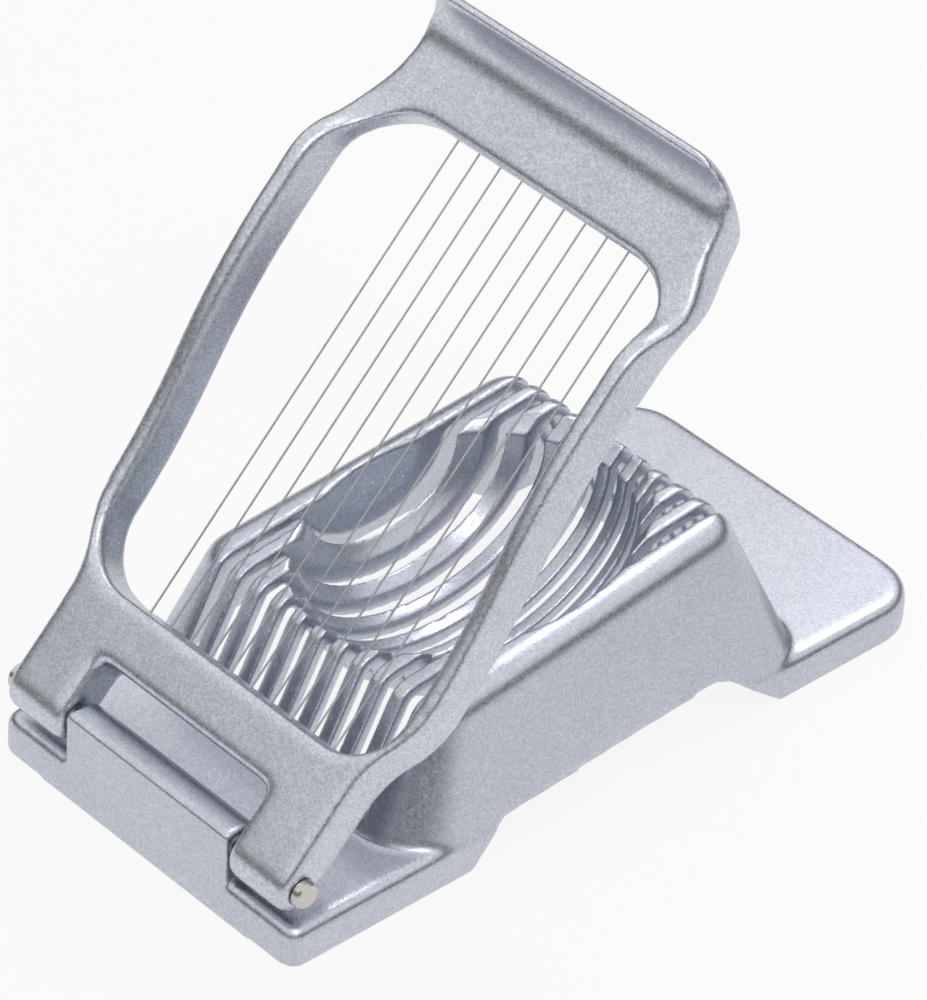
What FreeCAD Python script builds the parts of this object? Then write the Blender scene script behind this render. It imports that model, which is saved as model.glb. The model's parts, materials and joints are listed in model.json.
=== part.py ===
"""Egg slicer: a die-cast base with a ribbed egg cradle, and a hinged frame strung with ten wires.

Millimetres, +Z up. The origin is on the surface that the base stands on, under the middle of the base.
X runs along the hinge and Y from the hinge end to the thumb end. Lengths along the base are measured
from its hinge end. The frame is drawn lying flat, u along its legs and n out of its face, with the hinge
line through its zero, and is then turned up to the angle that it rests at.
"""
import FreeCAD
import Part
import os
from math import radians, sin, tan
from FreeCAD import Vector

# Base plates and rim
base_length = 148.0
base_width = 75.0
plate_height = 7.8
plate_skin = 3.0
rim_wall = 3.0
hinge_corner_radius = 3.0
thumb_corner_radius = 10.0
plate_edge_radius = 2.2

# Body between the plates: where its walls meet the plate tops, and how far each leans in from upright
body_foot_width = 73.6
body_front_foot = 25.4
body_back_foot = 120.0
front_lean = 27.5
back_lean = 24.0
side_lean = 15.3
body_wall = 3.0
front_corner_foot_radius = 12.0
front_corner_top_radius = 6.5
back_corner_foot_radius = 10.0
back_corner_top_radius = 7.0
top_front_height = 30.4
top_rise = 6.0
shoulder_radius = 5.0

# Arch under both side walls, from the near foot to the far foot
arch_near_foot = 40.6
arch_near_top = 47.0
arch_far_top = 99.0
arch_far_foot = 112.2
arch_near_height = 7.3
arch_far_height = 10.5
arch_near_radius = 4.0
arch_far_radius = 9.0

# Egg hollow, half an ellipsoid with an upright wall above it, and the flat ellipsoid that eases its rim
hollow_middle = 71.3
hollow_half_length = 31.0
hollow_half_width = 25.9
hollow_bottom_height = 11.1
hollow_middle_height = 32.7
rim_half_length = 37.2
rim_half_width = 28.3
rim_lift = 6.0
rim_depth = 10.0
rib_depth = 2.7

# Wires and the slots that they drop into
wire_count = 10
wire_pitch = 5.16
wire_diameter = 0.38
slot_width = 2.3
slot_floor_gap = 0.85
wire_drop = 3.24
ferrule_diameter = 1.4
ferrule_length = 5.0
ferrule_recess = 0.6

# Hinge
hinge_setback = 3.45
hinge_height = 14.34
rest_angle = 46.1
boss_width = 41.0
boss_depth = 7.4
boss_height = 18.0
boss_edge_radius = 0.9
boss_back_radius = 3.0
pin_diameter = 4.0
pin_head_diameter = 5.0
pin_head_length = 1.5
pin_head_chamfer = 0.35
pin_grip = 11.0
pin_running_clearance = 0.05
pin_head_gap = 0.2

# Frame seen from above: half widths across the hinge plate, legs and handle
knuckle_radius = 4.6
hinge_plate_half = 35.4
leg_outer_half = 41.0
leg_width = 4.0
handle_half = 36.2
flare_start = 22.0
flare_end = 32.0
flare_radius = 19.0
neck_start = 111.0
neck_end = 122.0
neck_radius = 20.0
frame_end = 135.6
handle_corner_radius = 7.0
opening_start = 21.8
opening_end = 115.7
opening_hinge_radius = 11.5
opening_handle_radius = 13.0
notch_clearance = 0.95
notch_end = 11.0
notch_corner_radius = 1.4

# Frame seen from the side: legs that arch up between the hinge plate and the handle
leg_arch_rise = 8.0
leg_depth = 10.0
arch_up_start = 44.5
arch_up_end = 77.5
arch_up_radius = 130.0
arch_down_start = 103.2
arch_down_end = 111.8
arch_down_radius = 10.5
handle_face = 4.8
handle_back = -3.6
back_down_start = 106.5
back_down_end = 117.5
back_down_radius = 16.0
lip_face = 133.5
lip_height = 13.2
lip_cove_radius = 7.6
lip_tip_radius = 0.95
lip_back_height = 8.5
lip_back_radius = 6.0
lip_root = 127.4
lip_root_radius = 5.0
rail_half = 28.5
rail_end = 123.0
rail_wall = 1.0
notch_edge_radius = 0.7

# Reach of cutting solids past the part, and the closeness of points that count as one
FAR = 200.0
TINY = 1e-4


def plan_at(z):
    """Lays flat outline points on the level z."""
    return lambda p: Vector(p.x, p.y, z)


def side_at(x):
    """Lays flat outline points on the upright plane at x, as length and height."""
    return lambda p: Vector(x, p.x, p.y)


def rounded_wire(points, lay):
    """Closed wire through corners (a, b, radius), each corner rounded by its own radius."""
    corners = [Vector(a, b, 0) for a, b, _ in points]
    runs = []
    for i, (_, _, radius) in enumerate(points):
        here = corners[i]
        back = (corners[i - 1] - here).normalize()
        ahead = (corners[(i + 1) % len(corners)] - here).normalize()
        half_angle = back.getAngle(ahead) / 2
        reach = radius / tan(half_angle)
        middle = (back + ahead).normalize() * (radius / sin(half_angle) - radius)
        runs.append((here + back * reach, here + middle, here + ahead * reach, radius))
    edges = []
    for i, (start, middle, end, radius) in enumerate(runs):
        last_end = runs[i - 1][2]
        if last_end.distanceToPoint(start) > 1e-6:
            edges.append(Part.LineSegment(lay(last_end), lay(start)).toShape())
        if radius > 0:
            edges.append(Part.Arc(lay(start), lay(middle), lay(end)).toShape())
    return Part.Wire(edges)


def symmetric(half):
    """Whole outline from its right half, given from the hinge end to the thumb end."""
    return half + [(-a, b, radius) for a, b, radius in reversed(half)]


def prism(points, lay, direction):
    """Solid swept straight from a rounded outline."""
    return Part.Face(rounded_wire(points, lay)).extrude(direction)


def side_prism(points):
    """Solid that runs right across the part, from an outline of lengths and heights."""
    return prism(points, side_at(-FAR / 2), Vector(FAR, 0, 0))


def edges_where(shape, wanted):
    """Edges of a shape whose end points all pass a test."""
    return [edge for edge in shape.Edges if all(wanted(v) for v in edge.Vertexes)]


def top_height(y, drop=0.0):
    """Height of the body's top, which rises evenly towards the thumb end."""
    front_edge = body_front_foot + (top_front_height - plate_height) * tan(radians(front_lean))
    return top_front_height + (y - front_edge) * tan(radians(top_rise)) - drop


def body_outline(z, inset):
    """Body outline on the level z, set in by a wall."""
    rise = z - plate_height
    share = rise / (top_front_height - plate_height)
    half = body_foot_width / 2 - rise * tan(radians(side_lean)) - inset
    front = body_front_foot + rise * tan(radians(front_lean)) + inset
    back = body_back_foot - rise * tan(radians(back_lean)) - inset
    front_radius = front_corner_foot_radius + (front_corner_top_radius - front_corner_foot_radius) * share
    back_radius = back_corner_foot_radius + (back_corner_top_radius - back_corner_foot_radius) * share
    return symmetric([(half, front, max(front_radius, 1.0)), (half, back, max(back_radius, 1.0))])


def body_solid(inset, drop):
    """Leaning walls up to the sloping top, or the space inside them."""
    levels = (0.0, top_height(base_length))
    rings = [rounded_wire(body_outline(z, inset), plan_at(z)) for z in levels]
    walls = Part.makeLoft(rings, True, True)
    top_line = [(FAR, top_height(FAR, drop), 0), (-FAR, top_height(-FAR, drop), 0)]
    return walls.common(side_prism([(-FAR, -FAR, 0), (FAR, -FAR, 0)] + top_line))


def plate_outline(inset):
    """Footprint of the base, set in by a wall."""
    half = base_width / 2 - inset
    near = (half, inset, max(hinge_corner_radius - inset, 0.5))
    far = (half, base_length - inset, thumb_corner_radius - inset)
    return symmetric([near, far])


def stretched(shape, half_width, half_length, half_height):
    """Round unit shape stretched to an egg's half sizes."""
    stretch = FreeCAD.Matrix()
    stretch.scale(half_width, half_length, half_height)
    return shape.transformGeometry(stretch)


def hollow(growth):
    """Egg-shaped space and its eased rim, or the bowl around them when grown by a thickness."""
    cup = Part.makeSphere(1.0, Vector(0, 0, 0), Vector(0, 0, 1), -90, 0, 360)
    well = stretched(
        cup.fuse(Part.makeCylinder(1.0, 2.0)).removeSplitter(), hollow_half_width + growth,
        hollow_half_length + growth, hollow_middle_height - hollow_bottom_height + growth)
    well.translate(Vector(0, hollow_middle, hollow_middle_height))
    rim = stretched(
        Part.makeSphere(1.0), rim_half_width + growth, rim_half_length + growth,
        rim_lift + rim_depth + growth)
    rim.rotate(Vector(0, 0, 0), Vector(1, 0, 0), top_rise)
    rim.translate(Vector(0, hollow_middle, top_height(hollow_middle) + rim_lift))
    return [well, rim]


def wire_places():
    """Places of the wires along the hinge line."""
    return [(i - (wire_count - 1) / 2) * wire_pitch for i in range(wire_count)]


def boss_solid():
    """Hinge boss, flush with the hinge end."""
    foot = plate_height - plate_edge_radius - plate_skin / 2
    boss = Part.makeBox(boss_width, boss_depth, boss_height - foot, Vector(-boss_width / 2, 0, foot))
    top = boss_height - TINY
    back_edge = edges_where(boss, lambda v: v.Z > top and v.Y > boss_depth - TINY)
    boss = boss.makeFillet(boss_back_radius, back_edge)
    front_edge = edges_where(boss, lambda v: v.Z > top and v.Y < TINY)
    return boss.makeFillet(boss_edge_radius, front_edge)


def pin_bore(side, diameter, start, end):
    """Cylinder along the hinge line on one side of the base."""
    return Part.makeCylinder(
        diameter / 2, end - start, Vector(side * start, hinge_setback, hinge_height), Vector(side, 0, 0))


def slot_cuts(x):
    """Slot for one wire: through both end walls down to the closed wire, and right through the cradle."""
    floor = hinge_height - wire_drop - slot_floor_gap
    cradle_half = hollow_half_length + rib_depth
    corner = x - slot_width / 2
    length = body_back_foot - body_front_foot + 2 * rim_wall
    ends = Part.makeBox(slot_width, length, FAR, Vector(corner, body_front_foot - rim_wall, floor))
    cradle = Part.makeBox(slot_width, 2 * cradle_half, FAR, Vector(corner, hollow_middle - cradle_half, -1))
    return ends, cradle


def base_casting():
    """Plates, body, boss and cradle in one hollow casting that is open underneath."""
    plates = prism(plate_outline(0), plan_at(0), Vector(0, 0, plate_height))
    plates = plates.makeFillet(plate_edge_radius, edges_where(plates, lambda v: v.Z > plate_height - TINY))
    body = body_solid(0, 0)
    body = body.makeFillet(shoulder_radius, edges_where(body, lambda v: v.Z > top_height(v.Y) - TINY))
    body = body.common(prism(plate_outline(0), plan_at(0), Vector(0, 0, FAR)))
    casting = plates.fuse([body, boss_solid()]).removeSplitter()
    room = body_solid(body_wall, rib_depth).cut(hollow(rib_depth))
    tray = prism(plate_outline(rim_wall), plan_at(-1), Vector(0, 0, plate_height - plate_skin + 1))
    arch = side_prism([
        (arch_near_foot - (arch_near_top - arch_near_foot), -arch_near_height, 0),
        (arch_near_top, arch_near_height, arch_near_radius),
        (arch_far_top, arch_far_height, arch_far_radius),
        (arch_far_foot + (arch_far_foot - arch_far_top), -arch_far_height, 0)])
    slots = [slot for x in wire_places() for slot in slot_cuts(x)]
    bores = [pin_bore(side, pin_diameter, boss_width / 2 - pin_grip, boss_width / 2 + 1) for side in (-1, 1)]
    return casting.cut(room).cut(tray).cut(arch).cut(hollow(0)).cut(slots).cut(bores)


def hinge_pin(side):
    """Headed pin, driven into the boss, that one knuckle of the frame turns on."""
    seat = hinge_plate_half + pin_head_gap
    shank = pin_bore(side, pin_diameter, boss_width / 2 - pin_grip, seat)
    head = pin_bore(side, pin_head_diameter, seat, seat + pin_head_length)
    outer_end = seat + pin_head_length
    head = head.makeChamfer(pin_head_chamfer, edges_where(head, lambda v: abs(v.X) > outer_end - TINY))
    return shank.fuse(head).removeSplitter()


def frame_blank():
    """Frame outline from above, cut to its arched outline from the side."""
    outline = symmetric([
        (hinge_plate_half, -knuckle_radius, 0),
        (hinge_plate_half, flare_start, flare_radius),
        (leg_outer_half, flare_end, flare_radius),
        (leg_outer_half, neck_start, neck_radius),
        (handle_half, neck_end, neck_radius),
        (handle_half, frame_end, handle_corner_radius)])
    inner_half = leg_outer_half - leg_width
    opening = symmetric([
        (inner_half, opening_start, opening_hinge_radius), (inner_half, opening_end, opening_handle_radius)])
    notch_half = boss_width / 2 + notch_clearance
    notch = symmetric([(notch_half, -FAR, 0), (notch_half, notch_end, notch_corner_radius)])
    tall = Vector(0, 0, FAR)
    blank = prism(outline, plan_at(-FAR / 2), tall)
    for cut in (opening, notch):
        blank = blank.cut(prism(cut, plan_at(-FAR / 2), tall))
    crest = knuckle_radius + leg_arch_rise
    profile = [
        (-knuckle_radius, knuckle_radius, knuckle_radius),
        (arch_up_start, knuckle_radius, arch_up_radius),
        (arch_up_end, crest, arch_up_radius),
        (arch_down_start, crest, arch_down_radius),
        (arch_down_end, handle_face, arch_down_radius),
        (lip_face, handle_face, lip_cove_radius),
        (lip_face, lip_height, lip_tip_radius),
        (frame_end, lip_height, lip_tip_radius),
        (frame_end, lip_back_height, lip_back_radius),
        (lip_root, handle_back, lip_root_radius),
        (back_down_end, handle_back, back_down_radius),
        (back_down_start, crest - leg_depth, back_down_radius),
        (arch_up_end, crest - leg_depth, arch_up_radius),
        (arch_up_start, -knuckle_radius, arch_up_radius),
        (-knuckle_radius, -knuckle_radius, knuckle_radius)]
    return blank.common(side_prism(profile))


def wire_end_pockets(length):
    """Cylinders in line with the wires, sunk into both ends of the opening."""
    first = opening_start - ferrule_recess - ferrule_length
    last = opening_end + ferrule_recess + ferrule_length
    hinge_end = [frame_rod(x, ferrule_diameter, first, length) for x in wire_places()]
    handle_end = [frame_rod(x, ferrule_diameter, last - length, length) for x in wire_places()]
    return hinge_end, handle_end


def frame_rod(x, diameter, start, length):
    """Rod along the legs, in the plane of the wires."""
    return Part.makeCylinder(diameter / 2, length, Vector(x, start, -wire_drop), Vector(0, 1, 0))


def cutting_frame():
    """Frame with its wire rail under the handle, knuckle bores and pockets for the wire ends."""
    frame = frame_blank()
    notch_half = boss_width / 2 + notch_clearance

    def on_notch_front(v):
        beside_boss = abs(v.X) < notch_half + TINY and -TINY < v.Y < notch_end + TINY
        return beside_boss and v.Z > knuckle_radius - TINY

    frame = frame.makeFillet(notch_edge_radius, edges_where(frame, on_notch_front))
    rail_back = wire_drop + ferrule_diameter / 2 + rail_wall
    rail_start = opening_end + ferrule_recess
    rail = Part.makeBox(
        2 * rail_half, rail_end - rail_start, rail_back, Vector(-rail_half, rail_start, -rail_back))
    bore = Part.makeCylinder(
        pin_diameter / 2 + pin_running_clearance, FAR, Vector(-FAR / 2, 0, 0), Vector(1, 0, 0))
    hinge_end, handle_end = wire_end_pockets(ferrule_length + 2 * ferrule_recess)
    return frame.fuse(rail).removeSplitter().cut([bore] + hinge_end + handle_end)


def ferrules():
    """Sleeves crimped on the wire ends, one group at each end of the opening."""
    wires = cutting_wires()
    groups = wire_end_pockets(ferrule_length)
    return [Part.makeCompound([rod.cut(wire) for rod, wire in zip(group, wires)]) for group in groups]


def cutting_wires():
    """Straight wires from sleeve to sleeve."""
    first = opening_start - ferrule_recess - ferrule_length
    last = opening_end + ferrule_recess + ferrule_length
    return [frame_rod(x, wire_diameter, first, last - first) for x in wire_places()]


def raised(shape):
    """Frame piece turned about the hinge line to the angle it rests at, and set on the base."""
    shape.rotate(Vector(0, 0, 0), Vector(1, 0, 0), rest_angle)
    shape.translate(Vector(0, hinge_setback, hinge_height))
    return shape


def slicer_pieces():
    """Every piece by name, measured from the hinge end."""
    pieces = {
        "base_casting": base_casting(),
        "hinge_pin_left": hinge_pin(-1),
        "hinge_pin_right": hinge_pin(1),
        "cutting_frame": raised(cutting_frame())}
    for number, wire in enumerate(cutting_wires(), 1):
        pieces["cutting_wire_%02d" % number] = raised(wire)
    hinge_end, handle_end = ferrules()
    pieces["hinge_end_ferrules"] = raised(hinge_end)
    pieces["handle_end_ferrules"] = raised(handle_end)
    return pieces


os.makedirs("parts", exist_ok=True)
for name, piece in slicer_pieces().items():
    piece.translate(Vector(0, -base_length / 2, 0))
    piece.exportStep("parts/" + name + ".step")
    print(name, piece.isValid(), len(piece.Solids), "solids", round(piece.Volume, 2), "mm3")
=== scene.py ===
"""Cast egg slicer: softened castings, drawn wires and bright pins on a pale studio floor."""
import bpy
import json
import math
from mathutils import Matrix, Vector


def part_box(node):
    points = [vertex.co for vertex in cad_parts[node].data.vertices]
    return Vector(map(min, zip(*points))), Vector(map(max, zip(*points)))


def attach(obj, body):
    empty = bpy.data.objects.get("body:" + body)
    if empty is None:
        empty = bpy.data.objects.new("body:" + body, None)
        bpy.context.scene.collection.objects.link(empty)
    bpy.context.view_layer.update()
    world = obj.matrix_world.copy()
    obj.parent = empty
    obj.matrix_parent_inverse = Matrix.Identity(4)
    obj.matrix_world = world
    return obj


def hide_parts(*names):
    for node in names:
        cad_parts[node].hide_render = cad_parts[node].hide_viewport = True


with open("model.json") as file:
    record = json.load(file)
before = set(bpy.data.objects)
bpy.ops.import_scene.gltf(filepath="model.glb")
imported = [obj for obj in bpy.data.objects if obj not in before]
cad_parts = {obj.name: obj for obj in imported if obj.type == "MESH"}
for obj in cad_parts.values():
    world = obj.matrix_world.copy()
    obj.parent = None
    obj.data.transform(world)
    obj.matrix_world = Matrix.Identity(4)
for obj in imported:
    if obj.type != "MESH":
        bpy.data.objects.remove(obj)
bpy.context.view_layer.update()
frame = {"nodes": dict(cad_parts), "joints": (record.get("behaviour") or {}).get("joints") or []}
MM = 0.001

hinge_line = Vector(frame["joints"][0]["pos_m"])
base_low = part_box("base_casting")[0]

# Castings: size of the remeshed facets, and smoothing passes that roll the edges over
WELD = 0.001 * MM
FRAME_FACET = 0.45 * MM
FRAME_PASSES = 80
BASE_FACET = 0.42 * MM
BASE_PASSES = 9
PASS_STRENGTH = 0.5

# Base alone: share of its triangles kept, and further passes on the walls beyond the ribs
BASE_KEPT = 0.36
BASE_WALL_PASSES = 24
RIBS_REACH = 26.5 * MM

# Round the hinge line: how far nothing is smoothed, and the radius of the knuckles' bores
BORE_KEPT_SHARP = 2.9 * MM
BORE_RADIUS = 2.3 * MM

# Metals: dark and light ends of each colour range, and how each takes the light
BASE_COLOURS = (0.43, 0.46, 0.515), (0.66, 0.69, 0.765)
BASE_BUMP = 0.08
FRAME_COLOURS = (0.42, 0.445, 0.495), (0.76, 0.79, 0.86)
FRAME_BUMP = 0.12
BUMP_DEPTH = 0.1 * MM
PIN_COLOURS = (0.50, 0.49, 0.46), (0.66, 0.65, 0.61)
PIN_ROUGHNESS = 0.28
PIN_MARK_SCALE = 900.0
WIRE_COLOURS = (0.36, 0.37, 0.38), (0.56, 0.57, 0.58)
WIRE_ROUGHNESS = 0.25
WIRE_MARK_SCALE = 1500.0

# Grain of the castings
FLECK_SCALE = 3300.0
FLECK_HEIGHT = 0.5
FINE_DETAIL = 2.0
CLOUD_SCALE = 60.0
CLOUD_DETAIL = 3.0
CLOUD_SHARE = 0.35
GRAIN_ROUGHNESS = (0.26, 0.42)

# Sockets of a mix node: its factor, its two numbers and their mix, its two colours and their mix
MIX_FACTOR = 0
NUMBER_A, NUMBER_B, NUMBER_MIX = 2, 3, 0
COLOUR_A, COLOUR_B, COLOUR_MIX = 6, 7, 2

# Camera, fitted to the straight edges of the slicer
CAMERA_AIM = Vector((0, -7, 15)) * MM
CAMERA_AZIMUTH = 45.66
CAMERA_ELEVATION = 37.11
CAMERA_ROLL = 3.44
CAMERA_DISTANCE = 1107.16 * MM
CAMERA_SLIDE = Vector((3.08, 22.24)) * MM
CAMERA_LENS = 233.7
CAMERA_SENSOR = 36.0
CAMERA_NEAR = 0.05
CAMERA_FAR = 20.0

# Studio: the floor and its share of own white, the light that the surroundings give, the wall, the lamps
FLOOR_SIZE = 6.0
FLOOR_GAP = 0.05 * MM
FLOOR_GREY = 0.86
FLOOR_SHINE = 0.1
FLOOR_GLOW = 0.88
MATT = 0.9
WORLD_LIGHT = 0.6
WALL_RADIUS = 1.3
WALL_HEIGHT = 0.62
WALL_SIDES = 64
WALL_GREY = 0.30
KEY_LAMP_PLACE = (-0.25, 0.67, 0.97)
SIDE_LAMP_PLACE = (0.65, -0.25, 1.0)
LAMP_AIM = (0, 0, 0.03)
LAMP_SIZE = 0.30
LAMP_WATTS = 2.5


def only(piece):
    """Leaves one object selected and active."""
    bpy.ops.object.select_all(action="DESELECT")
    piece.select_set(True)
    bpy.context.view_layer.objects.active = piece


def apply_modifier(piece, kind, **settings):
    """Adds a modifier with its settings and applies it to the active piece."""
    modifier = piece.modifiers.new(kind.lower(), kind)
    for name, value in settings.items():
        setattr(modifier, name, value)
    bpy.ops.object.modifier_apply(modifier=modifier.name)


def smoothed(piece, group_name, chosen, passes):
    """Smooths the points of a piece that are chosen."""
    group = piece.vertex_groups.new(name=group_name)
    group.add([v.index for v in piece.data.vertices if chosen(v.co)], 1.0, "REPLACE")
    apply_modifier(piece, "SMOOTH", factor=PASS_STRENGTH, iterations=passes, vertex_group=group.name)


def from_hinge_line(point):
    """Distance of a point from the hinge line."""
    return math.hypot(point.y - hinge_line.y, point.z - hinge_line.z)


def softened_casting(node, name, facet, passes):
    """Copy of a casting with its edges rolled over, its bores on the hinge line left true."""
    piece = bpy.data.objects.new(name, frame["nodes"][node].data.copy())
    bpy.context.scene.collection.objects.link(piece)
    only(piece)
    bpy.ops.object.mode_set(mode="EDIT")
    bpy.ops.mesh.select_all(action="SELECT")
    bpy.ops.mesh.remove_doubles(threshold=WELD)
    bpy.ops.object.mode_set(mode="OBJECT")
    bpy.ops.mesh.customdata_custom_splitnormals_clear()
    apply_modifier(piece, "REMESH", mode="VOXEL", voxel_size=facet, use_smooth_shade=True)
    smoothed(piece, "rolled", lambda point: from_hinge_line(point) > BORE_KEPT_SHARP, passes)
    return piece


def cleared_bores(piece):
    """Opens the knuckles' bores a little, so that the facets turn clear of the pins."""
    for vertex in piece.data.vertices:
        distance = from_hinge_line(vertex.co)
        if distance < BORE_RADIUS:
            vertex.co.y = hinge_line.y + (vertex.co.y - hinge_line.y) * BORE_RADIUS / distance
            vertex.co.z = hinge_line.z + (vertex.co.z - hinge_line.z) * BORE_RADIUS / distance


def eased_walls(piece):
    """Blends the side walls into the plates, where no rib is near."""
    smoothed(piece, "walls", lambda point: abs(point.x) > RIBS_REACH, BASE_WALL_PASSES)


def socket(group, name, direction, kind, value=None):
    """Named socket on a node group."""
    made = group.interface.new_socket(name, in_out=direction, socket_type=kind)
    if value is not None:
        made.default_value = value


def cast_grain_group():
    """Fine flecks of a satin die casting, with slow cloudy changes over the surface."""
    group = bpy.data.node_groups.new("cast grain", "ShaderNodeTree")
    socket(group, "Fleck Scale", "INPUT", "NodeSocketFloat", FLECK_SCALE)
    socket(group, "Cloud Scale", "INPUT", "NodeSocketFloat", CLOUD_SCALE)
    socket(group, "Dark", "INPUT", "NodeSocketColor")
    socket(group, "Light", "INPUT", "NodeSocketColor")
    socket(group, "Color", "OUTPUT", "NodeSocketColor")
    socket(group, "Roughness", "OUTPUT", "NodeSocketFloat")
    socket(group, "Height", "OUTPUT", "NodeSocketFloat")
    nodes, links = group.nodes, group.links
    given = nodes.new("NodeGroupInput")
    put = nodes.new("NodeGroupOutput")
    place = nodes.new("ShaderNodeTexCoord")
    fleck = nodes.new("ShaderNodeTexVoronoi")
    fine = nodes.new("ShaderNodeTexNoise")
    fine.inputs["Detail"].default_value = FINE_DETAIL
    cloud = nodes.new("ShaderNodeTexNoise")
    cloud.inputs["Detail"].default_value = CLOUD_DETAIL
    for texture, scale in ((fleck, "Fleck Scale"), (fine, "Fleck Scale"), (cloud, "Cloud Scale")):
        links.new(place.outputs["Object"], texture.inputs["Vector"])
        links.new(given.outputs[scale], texture.inputs["Scale"])
    cell = nodes.new("ShaderNodeSeparateColor")
    links.new(fleck.outputs["Color"], cell.inputs["Color"])
    shade = nodes.new("ShaderNodeMix")
    shade.inputs[MIX_FACTOR].default_value = CLOUD_SHARE
    links.new(cell.outputs["Red"], shade.inputs[NUMBER_A])
    links.new(cloud.outputs["Fac"], shade.inputs[NUMBER_B])
    tint = nodes.new("ShaderNodeMix")
    tint.data_type = "RGBA"
    links.new(shade.outputs[NUMBER_MIX], tint.inputs[MIX_FACTOR])
    links.new(given.outputs["Dark"], tint.inputs[COLOUR_A])
    links.new(given.outputs["Light"], tint.inputs[COLOUR_B])
    links.new(tint.outputs[COLOUR_MIX], put.inputs["Color"])
    rough = nodes.new("ShaderNodeMapRange")
    rough.inputs["To Min"].default_value, rough.inputs["To Max"].default_value = GRAIN_ROUGHNESS
    links.new(cell.outputs["Green"], rough.inputs["Value"])
    links.new(rough.outputs["Result"], put.inputs["Roughness"])
    height = nodes.new("ShaderNodeMath")
    height.operation = "MULTIPLY_ADD"
    height.inputs[1].default_value = FLECK_HEIGHT
    links.new(cell.outputs["Blue"], height.inputs[0])
    links.new(fine.outputs["Fac"], height.inputs[2])
    links.new(height.outputs["Value"], put.inputs["Height"])
    return group


def new_material(name):
    """Material with its nodes, its links and its surface shader."""
    material = bpy.data.materials.new(name)
    material.use_nodes = True
    nodes, links = material.node_tree.nodes, material.node_tree.links
    return material, nodes, links, nodes["Principled BSDF"]


def cast_metal(name, grain, dark, light, bump):
    """Satin die-cast metal."""
    material, nodes, links, surface = new_material(name)
    surface.inputs["Metallic"].default_value = 1.0
    flecks = nodes.new("ShaderNodeGroup")
    flecks.node_tree = grain
    flecks.inputs["Dark"].default_value = (*dark, 1)
    flecks.inputs["Light"].default_value = (*light, 1)
    relief = nodes.new("ShaderNodeBump")
    relief.inputs["Strength"].default_value = bump
    relief.inputs["Distance"].default_value = BUMP_DEPTH
    links.new(flecks.outputs["Color"], surface.inputs["Base Color"])
    links.new(flecks.outputs["Roughness"], surface.inputs["Roughness"])
    links.new(flecks.outputs["Height"], relief.inputs["Height"])
    links.new(relief.outputs["Normal"], surface.inputs["Normal"])
    return material


def drawn_steel(name, dark, light, roughness, mark_scale):
    """Bright steel with faint drawing marks."""
    material, nodes, links, surface = new_material(name)
    surface.inputs["Metallic"].default_value = 1.0
    surface.inputs["Roughness"].default_value = roughness
    place = nodes.new("ShaderNodeTexCoord")
    marks = nodes.new("ShaderNodeTexNoise")
    marks.inputs["Scale"].default_value = mark_scale
    links.new(place.outputs["Object"], marks.inputs["Vector"])
    tint = nodes.new("ShaderNodeMix")
    tint.data_type = "RGBA"
    tint.inputs[COLOUR_A].default_value = (*dark, 1)
    tint.inputs[COLOUR_B].default_value = (*light, 1)
    links.new(marks.outputs["Fac"], tint.inputs[MIX_FACTOR])
    links.new(tint.outputs[COLOUR_MIX], surface.inputs["Base Color"])
    return material


def wear(piece, material):
    """Gives a piece one material."""
    piece.data.materials.clear()
    piece.data.materials.append(material)


def looked_at(nodes, links):
    """Output that is 1 for what the camera, a reflection or a see-through piece looks at."""
    path = nodes.new("ShaderNodeLightPath")
    mirrored = nodes.new("ShaderNodeMath")
    mirrored.operation = "MAXIMUM"
    links.new(path.outputs["Is Glossy Ray"], mirrored.inputs[0])
    links.new(path.outputs["Is Transmission Ray"], mirrored.inputs[1])
    seen = nodes.new("ShaderNodeMath")
    seen.operation = "MAXIMUM"
    links.new(path.outputs["Is Camera Ray"], seen.inputs[0])
    links.new(mirrored.outputs["Value"], seen.inputs[1])
    return seen.outputs["Value"]


def studio_floor():
    """Pale floor, white to the eye and in reflections, that keeps a light shadow under the slicer."""
    bpy.ops.object.select_all(action="DESELECT")
    bpy.ops.mesh.primitive_plane_add(size=FLOOR_SIZE, location=(0, 0, base_low.z - FLOOR_GAP))
    floor = bpy.context.object
    floor.name = "studio_floor"
    material, nodes, links, paint = new_material("pale floor")
    paint.inputs["Base Color"].default_value = (FLOOR_GREY, FLOOR_GREY, FLOOR_GREY, 1)
    paint.inputs["Roughness"].default_value = MATT
    paint.inputs["Specular IOR Level"].default_value = FLOOR_SHINE
    glow = nodes.new("ShaderNodeEmission")
    shown = nodes.new("ShaderNodeMath")
    shown.operation = "MULTIPLY"
    shown.inputs[1].default_value = FLOOR_GLOW
    links.new(looked_at(nodes, links), shown.inputs[0])
    both = nodes.new("ShaderNodeMixShader")
    links.new(shown.outputs["Value"], both.inputs["Fac"])
    links.new(paint.outputs["BSDF"], both.inputs[1])
    links.new(glow.outputs["Emission"], both.inputs[2])
    links.new(both.outputs["Shader"], nodes["Material Output"].inputs["Surface"])
    wear(floor, material)


def studio_world():
    """White surroundings for what looks at them, and a softer level for the light they give."""
    world = bpy.data.worlds.new("studio")
    bpy.context.scene.world = world
    world.use_nodes = True
    nodes, links = world.node_tree.nodes, world.node_tree.links
    background = nodes["Background"]
    background.inputs["Color"].default_value = (1, 1, 1, 1)
    level = nodes.new("ShaderNodeMapRange")
    level.inputs["To Min"].default_value = WORLD_LIGHT
    level.inputs["To Max"].default_value = 1.0
    links.new(looked_at(nodes, links), level.inputs["Value"])
    links.new(level.outputs["Result"], background.inputs["Strength"])


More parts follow.
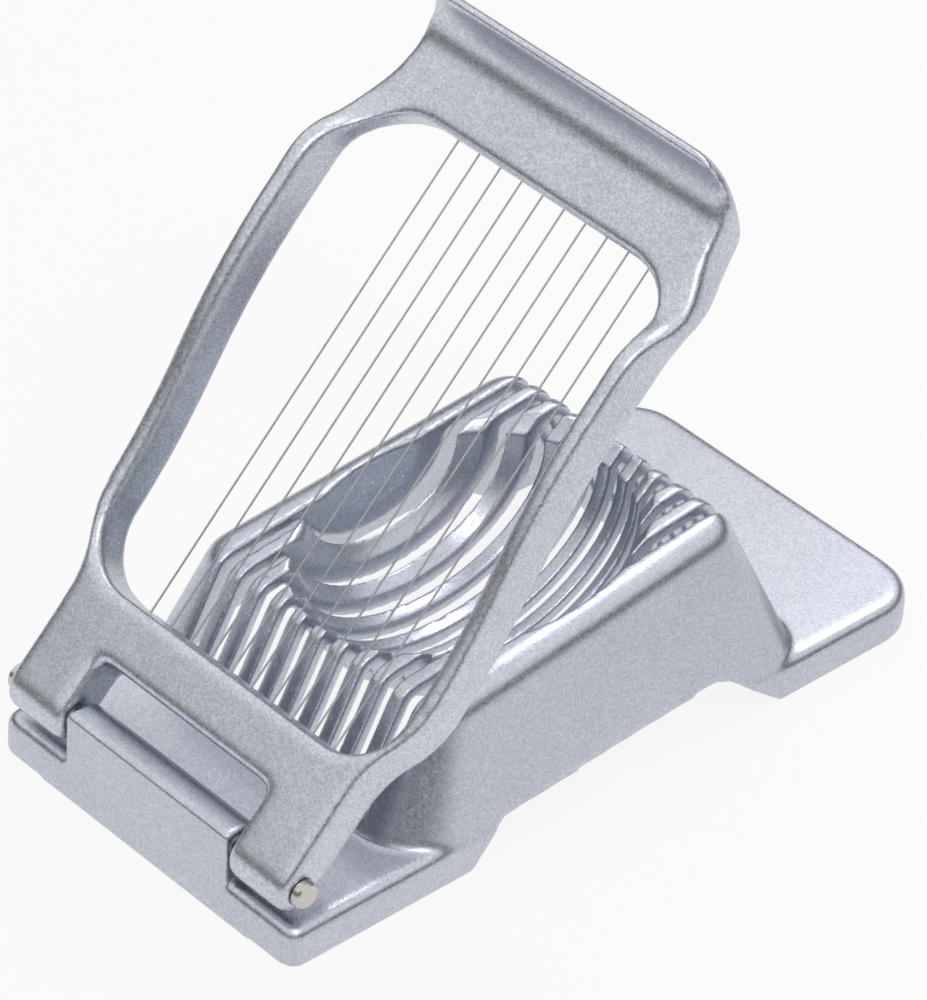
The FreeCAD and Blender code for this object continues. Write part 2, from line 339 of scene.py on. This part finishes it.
def studio_wall():
    """Low grey wall round the set, hidden from the camera, for the bare metal to mirror."""
    bpy.ops.object.select_all(action="DESELECT")
    bpy.ops.mesh.primitive_cylinder_add(
        vertices=WALL_SIDES, radius=WALL_RADIUS, depth=WALL_HEIGHT, end_fill_type="NOTHING",
        location=(0, 0, WALL_HEIGHT / 2))
    wall = bpy.context.object
    wall.name = "studio_wall"
    wall.visible_camera = False
    wall.visible_shadow = False
    material, _, _, surface = new_material("grey wall")
    surface.inputs["Base Color"].default_value = (WALL_GREY, WALL_GREY, WALL_GREY, 1)
    surface.inputs["Roughness"].default_value = MATT
    wear(wall, material)


def soft_box(name, place):
    """Square lamp that points at the slicer."""
    lamp = bpy.data.lights.new(name, "AREA")
    lamp.shape = "RECTANGLE"
    lamp.size = lamp.size_y = LAMP_SIZE
    lamp.energy = LAMP_WATTS
    box = bpy.data.objects.new(name, lamp)
    bpy.context.scene.collection.objects.link(box)
    box.location = place
    box.rotation_euler = (Vector(LAMP_AIM) - Vector(place)).to_track_quat("-Z", "Y").to_euler()


def photo_camera():
    """Camera at the fitted angle, rolled and slid as the picture is."""
    turn, lift, roll = (math.radians(a) for a in (CAMERA_AZIMUTH, CAMERA_ELEVATION, CAMERA_ROLL))
    back = Vector((math.sin(turn) * math.cos(lift), -math.cos(turn) * math.cos(lift), math.sin(lift)))
    level = Vector((math.cos(turn), math.sin(turn), 0))
    rise = back.cross(level)
    right = math.cos(roll) * level + math.sin(roll) * rise
    up = math.cos(roll) * rise - math.sin(roll) * level
    data = bpy.data.cameras.new("photo camera")
    data.lens = CAMERA_LENS
    data.sensor_width = CAMERA_SENSOR
    data.clip_start = CAMERA_NEAR
    data.clip_end = CAMERA_FAR
    camera = bpy.data.objects.new("photo camera", data)
    bpy.context.scene.collection.objects.link(camera)
    pose = Matrix((right, up, back)).transposed().to_4x4()
    pose.translation = (
        CAMERA_AIM + back * CAMERA_DISTANCE + right * CAMERA_SLIDE.x + up * CAMERA_SLIDE.y)
    camera.matrix_world = pose
    bpy.context.scene.camera = camera


grain = cast_grain_group()
base_metal = cast_metal("satin cast base", grain, *BASE_COLOURS, BASE_BUMP)
frame_metal = cast_metal("satin cast frame", grain, *FRAME_COLOURS, FRAME_BUMP)
pin_steel = drawn_steel("bright pin steel", *PIN_COLOURS, PIN_ROUGHNESS, PIN_MARK_SCALE)
wire_steel = drawn_steel("drawn wire steel", *WIRE_COLOURS, WIRE_ROUGHNESS, WIRE_MARK_SCALE)

cast_frame = softened_casting("cutting_frame", "cast_frame", FRAME_FACET, FRAME_PASSES)
cast_base = softened_casting("base_casting", "cast_base", BASE_FACET, BASE_PASSES)
cleared_bores(cast_frame)
eased_walls(cast_base)
apply_modifier(cast_base, "DECIMATE", ratio=BASE_KEPT)
for piece, node, body, slot, material in (
        (cast_frame, "cutting_frame", "frame", "cast_frame", frame_metal),
        (cast_base, "base_casting", "base", "cast_base", base_metal)):
    only(piece)
    bpy.ops.object.shade_smooth()
    wear(piece, material)
    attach(piece, body)
    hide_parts(node)
for name, node in frame["nodes"].items():
    if name.startswith("cutting_wire") or name.endswith("ferrules"):
        wear(node, wire_steel)
    elif name.startswith("hinge_pin"):
        wear(node, pin_steel)

studio_floor()
studio_world()
studio_wall()
soft_box("key lamp", KEY_LAMP_PLACE)
soft_box("side lamp", SIDE_LAMP_PLACE)
photo_camera()
bpy.context.scene.view_settings.view_transform = "Standard"
